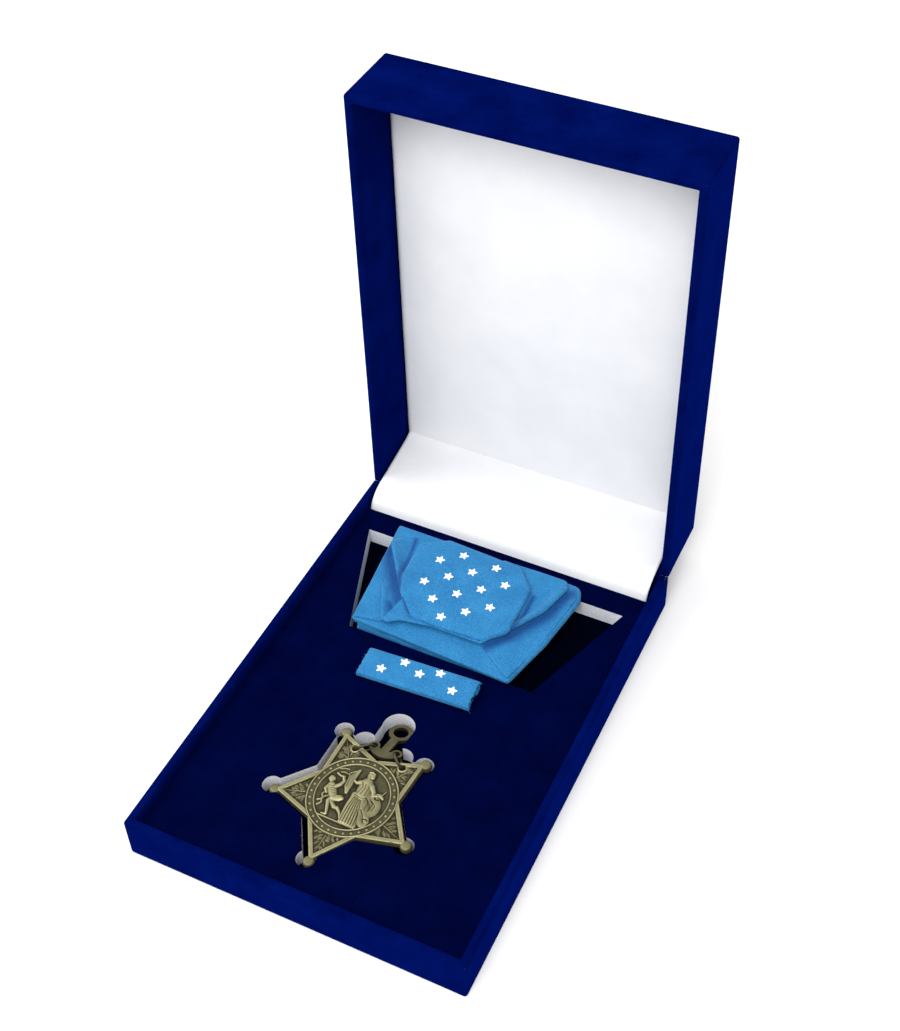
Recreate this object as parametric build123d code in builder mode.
"""A cased military service medal: hinged velvet presentation case, fitted insert,
star pendant with anchor suspender, folded neck ribbon with star pad, and ribbon bar.

Frame: millimetres, +Z up, +Y towards the hinge. The origin is the centre of the
case's underside. The lid stands open at its stop, square to the base.
"""
from build123d import *
import math
import os

os.makedirs("parts", exist_ok=True)

# ---- case, driving dimensions ----
CASE_W = 102.0            # outside width, X
CASE_D = 144.5            # outside depth, Y
BASE_H = 14.6             # underside to base rim
LID_H = 24.5              # lid depth, top panel to rim
RIM_GAP = 0.1             # between the closed rims
BOARD = 1.8               # side board thickness
PANEL_BOARD = 2.0         # floor and top board thickness
SKIN = 0.4                # velvet and satin sheet thickness
WALL = BOARD + 2 * SKIN
SHEET_SIDE = 0.35         # small edge rounding on the velvet
HINGE_INSET = 1.6         # hinge axis, in from the back face
CHAMFER_GAP = 0.2         # between the chamfered back rims at the open stop

HINGE_Y = CASE_D / 2 - HINGE_INSET
HINGE_Z = BASE_H
LID_BOTTOM = HINGE_Z - HINGE_INSET
IN_W = CASE_W - 2 * WALL
IN_D = CASE_D - 2 * WALL

# ---- hinge ----
PIN_R = 0.45
BORE_R = 0.5
KNUCKLE_R = 0.9
KNUCKLES = 5
HINGE_LENGTH = 60.0
KNUCKLE_GAP = 0.3
LEAF_T = 0.4
LEAF_H = 6.0
LEAF_BITE = 0.4           # how far a leaf reaches into its knuckles
NOTCH_SIDE = 0.35         # clearance round the knuckles
NOTCH_DEPTH = 1.2

# ---- insert ----
RISER_TOP = 4.8
CARD_T = 0.5
FOAM_TOP = 10.8
FACE_Z = 11.3             # velvet face of the insert
INSERT_W = IN_W - 0.4
INSERT_BACK = 61.3
INSERT_FRONT = -IN_D / 2 + 0.2
CARD_TOP = RISER_TOP + CARD_T

# ---- ribbon well in the insert ----
WELL_FRONT, WELL_BACK = 15.4, 53.5
WELL_FRONT_HALF, WELL_BACK_HALF = 30.0, 43.5

# ---- medal pose: the pendant lies a little tilted in its recess ----
MEDAL_X, MEDAL_Y = 0.0, -37.7
MEDAL_TURN = -3.2
MEDAL_TILT_Y = -3.4       # right side high
MEDAL_TILT_X = 1.2        # back edge high
medal_plane = Plane(Location((MEDAL_X, MEDAL_Y, FACE_Z), (MEDAL_TILT_X, MEDAL_TILT_Y, MEDAL_TURN)))

# ---- pendant ----
STAR_T = 1.6
BALL_RING_R = 22.1
BALL_R = 1.65
BALL_HALF_T = 1.35
BALL_ROUND = 1.1
NOTCH_R = 13.2
DISC_R = 13.0
BAND_IN_R = 10.6
BAND_RISE = 0.5
LINE_W = 0.45
BAR_W = 1.65
BAR_RISE = 0.35
BAR_GAP = 0.15            # between the foot of a bar and the notch
FIELD_RISE = 0.17
RING_INSET = 0.06
ARM_ANGLES = [54, 126, 198, 270, 342]

# ---- links and anchor ----
LINK_R = 2.7
LINK_WIRE_R = 0.4
LINK_LEAN = 20.0
STAR_EYE = (7.7, 14.1)
FLUKE_EYE = (3.6, 17.6)
EYE_R = 1.0
FLUKE_R = 1.6
ANCHOR_T = 1.0
ANCHOR_SLOPE = -15.0
ANCHOR_RING_Y = 8.4       # from the fluke line to the suspension ring's centre
ANCHOR_RING_R = 3.5
ANCHOR_BORE_R = 2.2
CROWN_Y = -2.5            # lowest point of the crown's centre line
CROWN_UNDER, CROWN_OVER = 1.0, 1.6   # crown's edge below and above that line
HORN_IN, HORN_UP = 0.3, 0.6          # where the crown's upper edge meets a fluke
SHANK_HALF = 1.2

# ---- recess ----
RECESS_X, RECESS_Y = -0.8, -37.4   # the pendant has slid right and forward in its recess
RECESS_GAP = 1.05
LOBE_R = 2.85
LINK_LOBE_R = 3.4
LINK_LOBE = (6.0, 17.3)
SLOT_HALF = 4.6
SLOT_END_R = 4.8
PIN_HOLE_R = 1.0
SUPPORT_R = 9.0

# ---- ribbon bar ----
BAR_X, BAR_Y, BAR_TURN = -1.4, 5.2, 3.2
RIBBON_L, RIBBON_W, RIBBON_T = 35.0, 9.8, 1.6
PLATE_L, PLATE_W, PLATE_T = 33.6, 8.8, 0.8
BAR_LAYER = 0.35
BAR_STARS = [(-11.2, -1.4), (-5.6, 3.2), (0.0, 0.8), (5.6, 3.2), (11.2, -1.4)]
POST_R = 0.55
POST_L = 5.0
POST_PITCH = 22.0
STAR_R = 1.45
STAR_PIP_T = 0.2

# ---- folded neck ribbon ----
TAIL_Z, TAIL_T = 5.5, 2.4
MIDDLE_Z, MIDDLE_T = 8.1, 2.6
UPPER_Z, UPPER_T = 11.6, 1.8
WING_Z, WING_T = 13.6, 0.8
BACKING_Z, BACKING_T = 14.5, 0.4
PAD_T = 1.2
PAD_LIP = 0.5
PAD_X, PAD_Y, PAD_TURN = -3.6, 39.2, -3.0
PAD_HALF_W, PAD_HALF_L, PAD_CUT = 19.5, 16.4, 7.4
PAD_STAR_PITCH_X, PAD_STAR_PITCH_Y = 5.65, 9.85
PAD_STAR_UP = 1.6
SNAP_R = 4.6
SNAP_GAP = 14.0


def keep(part, name):
    """Labels a finished piece and writes its STEP file."""
    part.label = name
    export_step(part, f"parts/{name}.step")
    return part


def slab(width, depth, low, high, x=0.0, y=0.0):
    """A rectangular sheet or board between two levels."""
    with BuildPart() as piece:
        with BuildSketch(Plane.XY.offset(low)):
            with Locations((x, y)):
                Rectangle(width, depth)
        extrude(amount=high - low)
    return piece.part


def outline_plate(points, low, high, radius=0.0, plane=Plane.XY):
    """A plate with a cornered outline, its corners rounded if a radius is given."""
    with BuildPart() as piece:
        with BuildSketch(plane.offset(low)) as face:
            Polygon(*points, align=None)
            if radius:
                fillet(face.vertices(), radius)
        extrude(amount=high - low)
    return piece.part


def back_rim_wedge(above):
    """The prism that bevels both back rims on the same 45 degree line.

    above=True is the stock over the base's bevel, above=False the stock under the lid's.
    """
    reach = 3 * HINGE_INSET
    lower = (HINGE_Y + reach, HINGE_Z - reach)
    with BuildPart() as wedge:
        with BuildSketch(Plane.YZ.offset(-CASE_W)):
            if above:
                shift = -CHAMFER_GAP
                Polygon(
                    (HINGE_Y, HINGE_Z + shift),
                    (lower[0], lower[1] + shift),
                    (lower[0], HINGE_Z + reach),
                    (HINGE_Y, HINGE_Z + reach),
                    align=None,
                )
            else:
                Polygon((HINGE_Y, HINGE_Z), lower, (HINGE_Y - reach, lower[1]),
                        (HINGE_Y - reach, HINGE_Z), align=None)
        extrude(amount=2 * CASE_W)
    return wedge.part


def hinge_notch():
    """Room for the knuckles in both back rims."""
    half = KNUCKLE_R + NOTCH_SIDE
    with BuildPart() as notch:
        with BuildSketch(Plane.YZ.offset(-HINGE_LENGTH / 2 - NOTCH_SIDE)):
            with Locations((HINGE_Y, HINGE_Z)):
                Rectangle(2 * half, 2 * half)
        extrude(amount=HINGE_LENGTH + 2 * NOTCH_SIDE)
    return notch.part


# =====================================================================
# Case: each half is a tray of boards under one velvet skin.
# A tray is drawn in its own plane, floor outside at local z 0.
# =====================================================================
base_plane = Plane.XY
lid_plane = Plane(
    origin=(0, HINGE_Y + RIM_GAP + LID_H, LID_BOTTOM + CASE_D / 2),
    x_dir=(1, 0, 0),
    z_dir=(0, -1, 0),
)


def tray_skin(plane, low, height, cutter):
    """The velvet: outer face, rim and inner face of the four walls, in one sheet."""
    with BuildPart() as skin:
        with BuildSketch(plane.offset(low)):
            Rectangle(CASE_W, CASE_D)
            Rectangle(IN_W, IN_D, mode=Mode.SUBTRACT)
        extrude(amount=height - low)
        rim = skin.faces().sort_by(Axis(plane.origin, plane.z_dir))[-1]
        fillet(rim.edges(), SHEET_SIDE)
        with BuildSketch(plane.offset(low)):
            Rectangle(CASE_W - 2 * SKIN, CASE_D - 2 * SKIN)
            Rectangle(IN_W + 2 * SKIN, IN_D + 2 * SKIN, mode=Mode.SUBTRACT)
        extrude(amount=height - SKIN - low, mode=Mode.SUBTRACT)
        with BuildSketch(plane.offset(low)):
            Rectangle(CASE_W - 2 * SKIN, CASE_D - 2 * SKIN)
        extrude(amount=SKIN + PANEL_BOARD - low, mode=Mode.SUBTRACT)
        add(cutter, mode=Mode.SUBTRACT)
        add(hinge_notch(), mode=Mode.SUBTRACT)
    return skin.part


def wall_board(plane, height, x, y, width, depth, cutter=None):
    """One side board, standing on the tray's floor board."""
    low, high = SKIN + PANEL_BOARD, height - SKIN
    with BuildPart() as board:
        with BuildSketch(plane.offset(low)):
            with Locations((x, y)):
                Rectangle(width, depth)
        extrude(amount=high - low)
        if cutter:
            add(cutter, mode=Mode.SUBTRACT)
            add(hinge_notch(), mode=Mode.SUBTRACT)
    return board.part


def tray(prefix, plane, height, hinge_side, cutter):
    """The four side boards of a tray. hinge_side is the sign of local y at the hinge."""
    side_x = CASE_W / 2 - SKIN - BOARD / 2
    end_y = CASE_D / 2 - SKIN - BOARD / 2
    full = CASE_W - 2 * SKIN
    between = CASE_D - 2 * SKIN - 2 * BOARD
    keep(wall_board(plane, height, -side_x, 0, BOARD, between), f"{prefix}_left_board")
    keep(wall_board(plane, height, side_x, 0, BOARD, between), f"{prefix}_right_board")
    keep(wall_board(plane, height, 0, -hinge_side * end_y, full, BOARD), f"{prefix}_front_board")
    keep(wall_board(plane, height, 0, hinge_side * end_y, full, BOARD, cutter),
         f"{prefix}_back_board")


base_wedge = back_rim_wedge(above=True)
lid_wedge = back_rim_wedge(above=False)
tray("base", base_plane, BASE_H, 1, base_wedge)
tray("lid", lid_plane, LID_H, -1, lid_wedge)
keep(tray_skin(base_plane, SKIN, BASE_H, base_wedge), "base_velvet")
keep(tray_skin(lid_plane, SKIN, LID_H, lid_wedge), "lid_velvet")
keep(slab(CASE_W, CASE_D, 0, SKIN), "underside_sheet")
keep(slab(CASE_W - 2 * SKIN, CASE_D - 2 * SKIN, SKIN, SKIN + PANEL_BOARD), "base_floor_board")

with BuildPart() as lid_top_velvet:
    with BuildSketch(lid_plane):
        Rectangle(CASE_W, CASE_D)
    extrude(amount=SKIN)
keep(lid_top_velvet.part, "lid_top_velvet")

with BuildPart() as lid_top_board:
    with BuildSketch(lid_plane.offset(SKIN)):
        Rectangle(CASE_W - 2 * SKIN, CASE_D - 2 * SKIN)
    extrude(amount=PANEL_BOARD)
keep(lid_top_board.part, "lid_top_board")

# ---- satin panel in the lid: card, sponge, satin ----
LID_FLOOR = SKIN + PANEL_BOARD
PAD_CARD_T, SPONGE_T = 0.8, 1.0
PANEL_ROOM, SPONGE_ROOM = 0.6, 1.0
PANEL_W, PANEL_D = IN_W - PANEL_ROOM, IN_D - PANEL_ROOM


def lid_lining(low, thickness, width, depth):
    """One layer of the lid's lining, seen from inside as a plain panel."""
    with BuildPart() as layer:
        with BuildSketch(lid_plane.offset(low)):
            Rectangle(width, depth)
        extrude(amount=thickness)
    return layer.part


keep(lid_lining(LID_FLOOR, PAD_CARD_T, PANEL_W, PANEL_D), "lid_lining_card")
keep(lid_lining(LID_FLOOR + PAD_CARD_T, SPONGE_T, PANEL_W - SPONGE_ROOM, PANEL_D - SPONGE_ROOM),
     "lid_lining_sponge")
LINING_FACE = LID_FLOOR + PAD_CARD_T + SPONGE_T
keep(lid_lining(LINING_FACE, SKIN, PANEL_W, PANEL_D), "lid_satin")

# =====================================================================
# Hinge: two leaves with alternating knuckles on one pin.
# =====================================================================
knuckle_step = HINGE_LENGTH / KNUCKLES


def hinge_leaf(parity, leaf_box, bridge_box):
    """A leaf plate, its bridge into the rim and every second knuckle."""
    with BuildPart() as leaf:
        for index in range(parity, KNUCKLES, 2):
            start = -HINGE_LENGTH / 2 + index * knuckle_step + KNUCKLE_GAP / 2
            length = knuckle_step - KNUCKLE_GAP
            with BuildSketch(Plane.YZ.offset(start)):
                with Locations((HINGE_Y, HINGE_Z)):
                    Circle(KNUCKLE_R)
            extrude(amount=length)
            with BuildSketch(Plane.YZ.offset(start)):
                Polygon(*bridge_box, align=None)
            extrude(amount=length)
        with BuildSketch(Plane.YZ.offset(-HINGE_LENGTH / 2)):
            Polygon(*leaf_box, align=None)
        extrude(amount=HINGE_LENGTH)
        with BuildSketch(Plane.YZ.offset(-HINGE_LENGTH / 2)):
            with Locations((HINGE_Y, HINGE_Z)):
                Circle(BORE_R)
        extrude(amount=HINGE_LENGTH, mode=Mode.SUBTRACT)
    return leaf.part


def box_points(y0, y1, z0, z1):
    """The corners of a rectangle in the YZ plane."""
    return [(y0, z0), (y1, z0), (y1, z1), (y0, z1)]


wall_face = IN_D / 2
leaf_top = HINGE_Z - KNUCKLE_R - NOTCH_SIDE
base_leaf = hinge_leaf(
    0,
    box_points(wall_face - LEAF_T, wall_face, leaf_top - LEAF_H, leaf_top),
    box_points(wall_face - LEAF_T, wall_face + LEAF_BITE, leaf_top, HINGE_Z - BORE_R),
)
keep(base_leaf, "hinge_base_leaf")

lid_wall_face = LID_BOTTOM + WALL
lid_leaf_front = HINGE_Y + KNUCKLE_R + NOTCH_SIDE
lid_leaf = hinge_leaf(
    1,
    box_points(lid_leaf_front, lid_leaf_front + LEAF_H, lid_wall_face, lid_wall_face + LEAF_T),
    box_points(HINGE_Y + BORE_R, lid_leaf_front,
               lid_wall_face - LEAF_BITE, lid_wall_face + LEAF_T),
)
keep(lid_leaf, "hinge_lid_leaf")

with BuildPart() as hinge_pin:
    with BuildSketch(Plane.YZ.offset(-HINGE_LENGTH / 2)):
        with Locations((HINGE_Y, HINGE_Z)):
            Circle(PIN_R)
    extrude(amount=HINGE_LENGTH)
keep(hinge_pin.part, "hinge_pin")

# ---- velvet spine over the hinge, outside: down the base, out under the lid ----
SPINE_W, SPINE_LEG = 96.0, 7.0
SPINE_CLEAR = 0.1
spine_y = CASE_D / 2 + SPINE_CLEAR
spine_z = LID_BOTTOM - SPINE_CLEAR
with BuildPart() as spine_velvet:
    with BuildSketch(Plane.YZ.offset(-SPINE_W / 2)):
        Polygon(
            (spine_y, spine_z),
            (spine_y, spine_z - SPINE_LEG),
            (spine_y + SKIN, spine_z - SPINE_LEG),
            (spine_y + SKIN, spine_z - SKIN),
            (spine_y + SPINE_LEG, spine_z - SKIN),
            (spine_y + SPINE_LEG, spine_z),
            align=None,
        )
    extrude(amount=SPINE_W)
keep(spine_velvet.part, "spine_velvet")

# ---- satin gusset: from the foot of the lid's panel, over the hinge, behind the insert ----
GUSSET_W = 95.0
lining_y = HINGE_Y + RIM_GAP + LID_H - LINING_FACE - SKIN
lid_wall_z = LID_BOTTOM + WALL
gusset_points = [                     # (y, z), from the lid's panel to the base
    (lining_y - 0.2, lid_wall_z + 5.0),
    (lining_y - 8.0, lid_wall_z + 3.6),
    (HINGE_Y + 3.4, HINGE_Z + 3.0),
    (HINGE_Y - 3.0, HINGE_Z + 1.6),
    (INSERT_BACK + 3.0, HINGE_Z - 1.4),
    (INSERT_BACK + 1.0, FACE_Z - 2.0),
    (INSERT_BACK + 0.6, CARD_TOP + 0.4),
]
with BuildPart() as satin_gusset:
    with BuildSketch(Plane.YZ.offset(-GUSSET_W / 2)):
        with BuildLine() as path:
            Spline(*gusset_points)
        trace(lines=path.line, line_width=SKIN)
    extrude(amount=GUSSET_W)
keep(satin_gusset.part, "satin_gusset")

# =====================================================================
# Pendant: star, links and anchor, all drawn in the medal's plane.
# =====================================================================
def polar(radius, angle):
    """A point in the medal's plane."""
    return (radius * math.cos(math.radians(angle)), radius * math.sin(math.radians(angle)))


def star_outline():
    """Ten corners: the arm tips and the notches between the arms."""
    corners = []
    for angle in ARM_ANGLES:
        corners.append(polar(BALL_RING_R, angle))
        corners.append(polar(NOTCH_R, angle + 36))
    return corners


def arm_bars(grow):
    """The two raised border bars of each arm, as strips inside the outline."""
    for angle in ARM_ANGLES:
        tip = polar(BALL_RING_R, angle)
        for side in (-1, 1):
            notch = polar(NOTCH_R, angle + 36 * side)
            along = (tip[0] - notch[0], tip[1] - notch[1])
            length = math.hypot(*along)
            inward = (along[1] / length * side, -along[0] / length * side)
            shift = (inward[0] * grow, inward[1] * grow)
            Polygon(
                notch,
                tip,
                (tip[0] + shift[0], tip[1] + shift[1]),
                (notch[0] + shift[0], notch[1] + shift[1]),
                align=None,
            )


ball_places = [polar(BALL_RING_R, angle) for angle in ARM_ANGLES]

with BuildPart() as balls:
    with BuildSketch(medal_plane.offset(-STAR_T / 2 - BALL_HALF_T)):
        with Locations(*ball_places):
            Circle(BALL_R)
    extrude(amount=2 * BALL_HALF_T)
    fillet(balls.edges(), BALL_ROUND)

with BuildPart() as star_pendant:
    with BuildSketch(medal_plane.offset(-STAR_T)):
        Polygon(*star_outline(), align=None)
        Circle(DISC_R)
    extrude(amount=STAR_T)
    with BuildSketch(medal_plane):
        arm_bars(BAR_W)
        Circle(NOTCH_R + BAR_GAP, mode=Mode.SUBTRACT)
        with Locations(*ball_places):
            Circle(BALL_R / 2, mode=Mode.SUBTRACT)
    extrude(amount=BAR_RISE)
    with BuildSketch(medal_plane):
        Circle(DISC_R - RING_INSET)
        Circle(DISC_R - RING_INSET - LINE_W, mode=Mode.SUBTRACT)
        Circle(BAND_IN_R + LINE_W)
        Circle(BAND_IN_R, mode=Mode.SUBTRACT)
    extrude(amount=BAND_RISE)
    with BuildSketch(medal_plane):
        Circle(BAND_IN_R + LINE_W / 2)
    extrude(amount=FIELD_RISE)
    add(balls.part)
    with BuildSketch(medal_plane.offset(-STAR_T * 2)):
        with Locations(STAR_EYE, (-STAR_EYE[0], STAR_EYE[1])):
            Circle(EYE_R)
    extrude(amount=STAR_T * 4, mode=Mode.SUBTRACT)
keep(star_pendant.part, "star_pendant")


def link_plane(side):
    """The plane of one link's circle: x towards its fluke eye, y up, leaning to the front."""
    run = (FLUKE_EYE[0] - STAR_EYE[0], FLUKE_EYE[1] - STAR_EYE[1])
    reach = math.hypot(*run)
    along = Vector(side * run[0] / reach, run[1] / reach, 0)
    front = Vector(-side * along.Y, side * along.X, 0)
    lean = math.radians(LINK_LEAN)
    up = front * math.sin(lean) + Vector(0, 0, 1) * math.cos(lean)
    middle = Vector(side * (STAR_EYE[0] + FLUKE_EYE[0]) / 2, (STAR_EYE[1] + FLUKE_EYE[1]) / 2,
                    -STAR_T / 2)
    local = Plane(origin=middle, x_dir=along, z_dir=along.cross(up))
    return Plane(medal_plane.location * local.location)


def link(side):
    """A round wire link through one star eye and one fluke eye."""
    circle = link_plane(side)
    with BuildPart() as ring:
        with BuildSketch(Plane(circle.origin, x_dir=circle.x_dir, z_dir=circle.y_dir * -1)):
            with Locations((LINK_R, 0)):
                Circle(LINK_WIRE_R)
        revolve(axis=Axis(circle.origin, circle.z_dir), revolution_arc=360)
    return ring.part


keep(link(-1), "left_link")
keep(link(1), "right_link")

anchor_local = Plane(Location((0, FLUKE_EYE[1], -STAR_T / 2), (ANCHOR_SLOPE, 0, 0)))
anchor_plane = Plane(medal_plane.location * anchor_local.location)
horn_x = FLUKE_EYE[0] - FLUKE_R + HORN_IN
with BuildPart() as anchor:
    with BuildSketch(anchor_plane.offset(-ANCHOR_T / 2)) as anchor_face:
        with BuildLine():
            outer = ThreePointArc((-FLUKE_EYE[0] - FLUKE_R, 0), (0, CROWN_Y - CROWN_UNDER),
                                  (FLUKE_EYE[0] + FLUKE_R, 0))
            Line(outer @ 1, (horn_x, HORN_UP))
            inner = ThreePointArc((horn_x, HORN_UP), (0, CROWN_Y + CROWN_OVER),
                                  (-horn_x, HORN_UP))
            Line(inner @ 1, outer @ 0)
        make_face()
        with Locations((FLUKE_EYE[0], 0), (-FLUKE_EYE[0], 0)):
            Circle(FLUKE_R)
        with Locations((0, (CROWN_Y + ANCHOR_RING_Y) / 2)):
            Rectangle(2 * SHANK_HALF, ANCHOR_RING_Y - CROWN_Y)
        with Locations((0, ANCHOR_RING_Y)):
            Circle(ANCHOR_RING_R)
            Circle(ANCHOR_BORE_R, mode=Mode.SUBTRACT)
        with Locations((FLUKE_EYE[0], 0), (-FLUKE_EYE[0], 0)):
            Circle(EYE_R, mode=Mode.SUBTRACT)
    extrude(amount=ANCHOR_T)
keep(anchor.part, "anchor")

# =====================================================================
# Insert: floor card on risers, white foam, velvet face; cut to fit the pieces.
# =====================================================================
insert_depth = INSERT_BACK - INSERT_FRONT
insert_y = (INSERT_BACK + INSERT_FRONT) / 2
RISER_W = 8.0
with BuildPart() as risers:
    with BuildSketch(Plane.XY.offset(SKIN + PANEL_BOARD)):
        with GridLocations(INSERT_W - 2 * RISER_W, 0, 2, 1):
            Rectangle(RISER_W, insert_depth)
    extrude(amount=RISER_TOP - SKIN - PANEL_BOARD)
keep(risers.part, "insert_risers")
keep(slab(INSERT_W, insert_depth, RISER_TOP, CARD_TOP, y=insert_y), "insert_floor_card")

recess_plane = Plane(Location((RECESS_X, RECESS_Y, 0), (0, 0, MEDAL_TURN)))


def recess_cut(low, high):
    """The medal's recess: grown star, ball lobes, link lobes and the anchor's slot."""
    slot_end = FLUKE_EYE[1] + ANCHOR_RING_Y
    slot_start = NOTCH_R - 1
    with BuildPart() as cut:
        with BuildSketch(recess_plane.offset(low)):
            Polygon(*star_outline(), align=None)
            offset(amount=RECESS_GAP, kind=Kind.INTERSECTION)
            Circle(DISC_R + RECESS_GAP)
            with Locations(*[polar(BALL_RING_R, angle) for angle in ARM_ANGLES]):
                Circle(LOBE_R)
            with Locations(LINK_LOBE, (-LINK_LOBE[0], LINK_LOBE[1])):
                Circle(LINK_LOBE_R)
            with Locations((0, (slot_start + slot_end) / 2)):
                Rectangle(2 * SLOT_HALF, slot_end - slot_start)
            with Locations((0, slot_end)):
                Circle(SLOT_END_R)
        extrude(amount=high - low)
    return cut.part


bar_plane = Plane(Location((BAR_X, BAR_Y, FACE_Z), (0, 0, BAR_TURN)))


def insert_layer(low, high):
    """One layer of the insert, with the well, the recess and the bar's post holes."""
    with BuildPart() as layer:
        with BuildSketch(Plane.XY.offset(low)):
            with Locations((0, insert_y)):
                Rectangle(INSERT_W, insert_depth)
            Polygon(
                (-WELL_FRONT_HALF, WELL_FRONT),
                (WELL_FRONT_HALF, WELL_FRONT),
                (WELL_BACK_HALF, WELL_BACK),
                (-WELL_BACK_HALF, WELL_BACK),
                align=None,
                mode=Mode.SUBTRACT,
            )
        extrude(amount=high - low)
        add(recess_cut(low, high), mode=Mode.SUBTRACT)
        with BuildSketch(bar_plane.offset(low - FACE_Z)):
            with GridLocations(POST_PITCH, 0, 2, 1):
                Circle(PIN_HOLE_R)
        extrude(amount=high - low, mode=Mode.SUBTRACT)
    return layer.part


keep(insert_layer(CARD_TOP, FOAM_TOP), "insert_foam")
keep(insert_layer(FOAM_TOP, FACE_Z), "insert_velvet")

SUPPORT_GAP = 1.2         # under the lowest corner of the tilted pendant's disc
SUPPORT_TOP = FACE_Z - STAR_T - SUPPORT_GAP
with BuildPart() as medal_support:
    with BuildSketch(recess_plane.offset(CARD_TOP)):
        Circle(SUPPORT_R)
    extrude(amount=SUPPORT_TOP - CARD_TOP)
keep(medal_support.part, "medal_support")

# =====================================================================
# Ribbon bar: plate with two posts, ribbon wrapped round it, five stars.
# =====================================================================
def star_points(radius, turn=90.0):
    """A plain five-pointed star."""
    inner = radius * math.cos(math.radians(72)) / math.cos(math.radians(36))
    points = []
    for index in range(5):
        points.append(polar(radius, turn + 72 * index))
        points.append(polar(inner, turn + 36 + 72 * index))
    return points


BAR_LIFT = 0.1            # between the insert and the bar
BAR_ROOM = 0.05           # between the plate and the ribbon over it
PLATE_CORNER, RIBBON_CORNER = 0.8, 0.5
UNDER_GAP = 3.0           # between the ribbon's two edges under the plate
plate_low = BAR_LIFT + BAR_LAYER
with BuildPart() as bar_plate:
    with BuildSketch(bar_plane.offset(plate_low)):
        RectangleRounded(PLATE_L, PLATE_W, PLATE_CORNER)
    extrude(amount=PLATE_T)
keep(bar_plate.part, "bar_plate")

with BuildPart() as bar_posts:
    with BuildSketch(bar_plane.offset(plate_low)):
        with GridLocations(POST_PITCH, 0, 2, 1):
            Circle(POST_R)
    extrude(amount=-POST_L)
keep(bar_posts.part, "bar_posts")

with BuildPart() as bar_ribbon:
    with BuildSketch(bar_plane.offset(BAR_LIFT)):
        Rectangle(RIBBON_L, RIBBON_W)
    extrude(amount=RIBBON_T)
    fillet(bar_ribbon.edges().filter_by(Axis(bar_plane.origin, bar_plane.x_dir)), RIBBON_CORNER)
    with BuildSketch(bar_plane.offset(plate_low)):
        Rectangle(RIBBON_L, PLATE_W + 2 * BAR_ROOM)
    extrude(amount=PLATE_T + BAR_ROOM, mode=Mode.SUBTRACT)
    with BuildSketch(bar_plane.offset(BAR_LIFT)):
        Rectangle(RIBBON_L, UNDER_GAP)
    extrude(amount=BAR_LAYER, mode=Mode.SUBTRACT)
keep(bar_ribbon.part, "bar_ribbon")

with BuildPart() as bar_stars:
    with BuildSketch(bar_plane.offset(BAR_LIFT + RIBBON_T)):
        with Locations(*BAR_STARS):
            Polygon(*star_points(STAR_R), align=None)
    extrude(amount=STAR_PIP_T)
keep(bar_stars.part, "bar_stars")

# =====================================================================
# Neck ribbon, folded into the well, with the star pad on top.
# =====================================================================
def well_half(y, inside):
    """Half the well's width at y, less a margin."""
    share = (y - WELL_FRONT) / (WELL_BACK - WELL_FRONT)
    return WELL_FRONT_HALF + share * (WELL_BACK_HALF - WELL_FRONT_HALF) - inside


END_ROOM = 0.8            # between the folds and the well's front and back
FOLD_FRONT, FOLD_BACK = WELL_FRONT + END_ROOM, WELL_BACK - END_ROOM
FOLD_CORNER, WING_CORNER = 0.8, 0.6
FOLD_FRONT_ROOM, FOLD_BACK_ROOM = 1.0, 9.0     # between the folds and the well's sides
RIGHT_FRONT_ROOM, RIGHT_BACK_ROOM = 9.0, 16.5


def tail(side, front_room, back_room):
    """One end of the neckband, folded flat beside the snap fastener."""
    points = [
        (side * SNAP_GAP / 2, FOLD_FRONT),
        (side * well_half(FOLD_FRONT, front_room), FOLD_FRONT),
        (side * well_half(FOLD_BACK, back_room), FOLD_BACK),
        (side * SNAP_GAP / 2, FOLD_BACK),
    ]
    return outline_plate(points, TAIL_Z, TAIL_Z + TAIL_T, FOLD_CORNER)


keep(tail(-1, FOLD_FRONT_ROOM, FOLD_BACK_ROOM), "neckband_left_tail")
keep(tail(1, RIGHT_FRONT_ROOM, RIGHT_BACK_ROOM), "neckband_right_tail")

middle_points = [
    (-well_half(FOLD_FRONT, FOLD_FRONT_ROOM), FOLD_FRONT),
    (well_half(FOLD_FRONT, RIGHT_FRONT_ROOM), FOLD_FRONT),
    (well_half(FOLD_BACK, RIGHT_BACK_ROOM), FOLD_BACK),
    (-well_half(FOLD_BACK, FOLD_BACK_ROOM), FOLD_BACK),
]
keep(outline_plate(middle_points, MIDDLE_Z, MIDDLE_Z + MIDDLE_T, FOLD_CORNER),
     "neckband_middle_fold")

FOLD_LEFT_BACK, FOLD_RIGHT_BACK = (-34.0, 56.2), (28.0, 56.8)
FOLD_RIGHT_SIDE = (29.6, 51.7)
FOLD_LEFT_FRONT, FOLD_RIGHT_FRONT = (-30.0, 16.6), (22.6, 14.6)
upper_points = [FOLD_LEFT_FRONT, FOLD_RIGHT_FRONT, FOLD_RIGHT_SIDE, FOLD_RIGHT_BACK,
                FOLD_LEFT_BACK]
keep(outline_plate(upper_points, UPPER_Z, UPPER_Z + UPPER_T, FOLD_CORNER), "neckband_upper_fold")

PAD_ROOM = 13.0           # half the space left under the pad for its hanger
left_wing = [(-PAD_ROOM + PAD_X, 22.0), (-29.0, 18.4), (-33.0, 55.4), (-PAD_ROOM + PAD_X, 55.4)]
right_wing = [(PAD_ROOM + PAD_X, 22.0), (22.0, 17.4), (28.6, 51.7), (27.2, 55.6),
              (PAD_ROOM + PAD_X, 55.6)]
keep(outline_plate(left_wing, WING_Z, WING_Z + WING_T, WING_CORNER), "neckband_left_wing")
keep(outline_plate(right_wing, WING_Z, WING_Z + WING_T, WING_CORNER), "neckband_right_wing")

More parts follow.
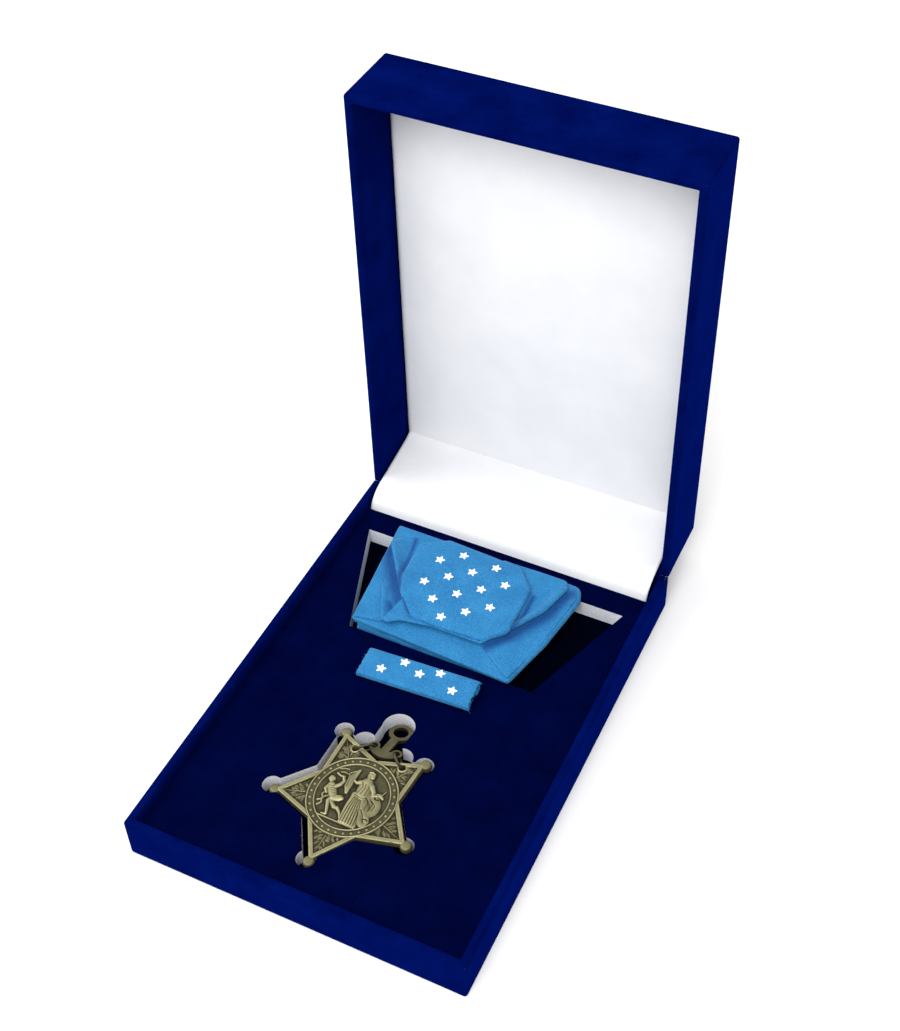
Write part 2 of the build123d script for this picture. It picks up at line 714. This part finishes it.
# ---- snap fastener that joins the two ends of the band, between the tails ----
SNAP_HOLE_R, SNAP_POST_R = 1.9, 1.8
SNAP_SOCKET_T, SNAP_STUD_T, SNAP_POST_L = 1.3, 0.6, 0.9
TOUCH_GAP = 0.05          # between pieces that lie on one another
snap_plane = Plane.XY.offset(TAIL_Z)
snap_y = (FOLD_FRONT + FOLD_BACK) / 2
with BuildPart() as snap_socket:
    with BuildSketch(snap_plane):
        with Locations((0, snap_y)):
            Circle(SNAP_R)
            Circle(SNAP_HOLE_R, mode=Mode.SUBTRACT)
    extrude(amount=SNAP_SOCKET_T)
keep(snap_socket.part, "snap_socket")

with BuildPart() as snap_stud:
    with BuildSketch(snap_plane.offset(SNAP_SOCKET_T + TOUCH_GAP)):
        with Locations((0, snap_y)):
            Circle(SNAP_R)
    extrude(amount=SNAP_STUD_T)
    with BuildSketch(snap_plane.offset(SNAP_SOCKET_T + TOUCH_GAP)):
        with Locations((0, snap_y)):
            Circle(SNAP_POST_R)
    extrude(amount=-SNAP_POST_L)
keep(snap_stud.part, "snap_stud")

# ---- pad: backing card, foam core, ribbon cover, thirteen stars ----
pad_plane = Plane(Location((PAD_X, PAD_Y, 0), (0, 0, PAD_TURN)))


CUT_SHARE = 0.6           # how much a cut corner shortens as the outline shrinks


def octagon(shrink):
    """The pad's outline, drawn in by a margin."""
    w, h, c = PAD_HALF_W - shrink, PAD_HALF_L - shrink, PAD_CUT - shrink * CUT_SHARE
    return [(w - c, -h), (w, -h + c), (w, h - c), (w - c, h),
            (-w + c, h), (-w, h - c), (-w, -h + c), (-w + c, -h)]


COVER_T = 0.4
BACKING_INSET = 1.0
keep(outline_plate(octagon(BACKING_INSET), BACKING_Z, BACKING_Z + BACKING_T, plane=pad_plane),
     "pad_backing")
core_low = BACKING_Z + BACKING_T
core_high = core_low + PAD_T - COVER_T
keep(outline_plate(octagon(PAD_LIP), core_low, core_high, plane=pad_plane), "pad_core")
with BuildPart() as pad_cover:
    add(outline_plate(octagon(0.0), core_low, core_low + PAD_T, plane=pad_plane))
    add(outline_plate(octagon(PAD_LIP), core_low, core_high, plane=pad_plane),
        mode=Mode.SUBTRACT)
keep(pad_cover.part, "pad_cover")


def pad_star_places():
    """Five columns of stars; the middle column sits half a step lower and holds three."""
    places = []
    for column in range(-2, 3):
        x = column * PAD_STAR_PITCH_X
        if column % 2:
            rows = (1.0, 0.0, -1.0)
        elif column:
            rows = (0.5, -0.5)
        else:
            rows = (0.5, -0.5, -1.5)
        places += [(x, PAD_STAR_UP + row * PAD_STAR_PITCH_Y) for row in rows]
    return places


with BuildPart() as pad_stars:
    with BuildSketch(pad_plane.offset(core_low + PAD_T)):
        with Locations(*pad_star_places()):
            Polygon(*star_points(STAR_R), align=None)
    extrude(amount=STAR_PIP_T)
keep(pad_stars.part, "pad_stars")

# ---- wire hanger under the pad, where the anchor's ring is hooked on for wear ----
HANGER_W, HANGER_L, HANGER_WIRE_R = 16.0, 7.0, 0.35
HANGER_CORNER = 2.0
with BuildPart() as hanger_loop:
    with BuildSketch(pad_plane.offset(WING_Z + TOUCH_GAP)):
        with Locations((0, -PAD_HALF_L + PAD_CUT)):
            RectangleRounded(HANGER_W, HANGER_L, HANGER_CORNER)
            RectangleRounded(HANGER_W - 4 * HANGER_WIRE_R, HANGER_L - 4 * HANGER_WIRE_R,
                             HANGER_CORNER - 2 * HANGER_WIRE_R, mode=Mode.SUBTRACT)
    extrude(amount=2 * HANGER_WIRE_R)
keep(hanger_loop.part, "hanger_loop")
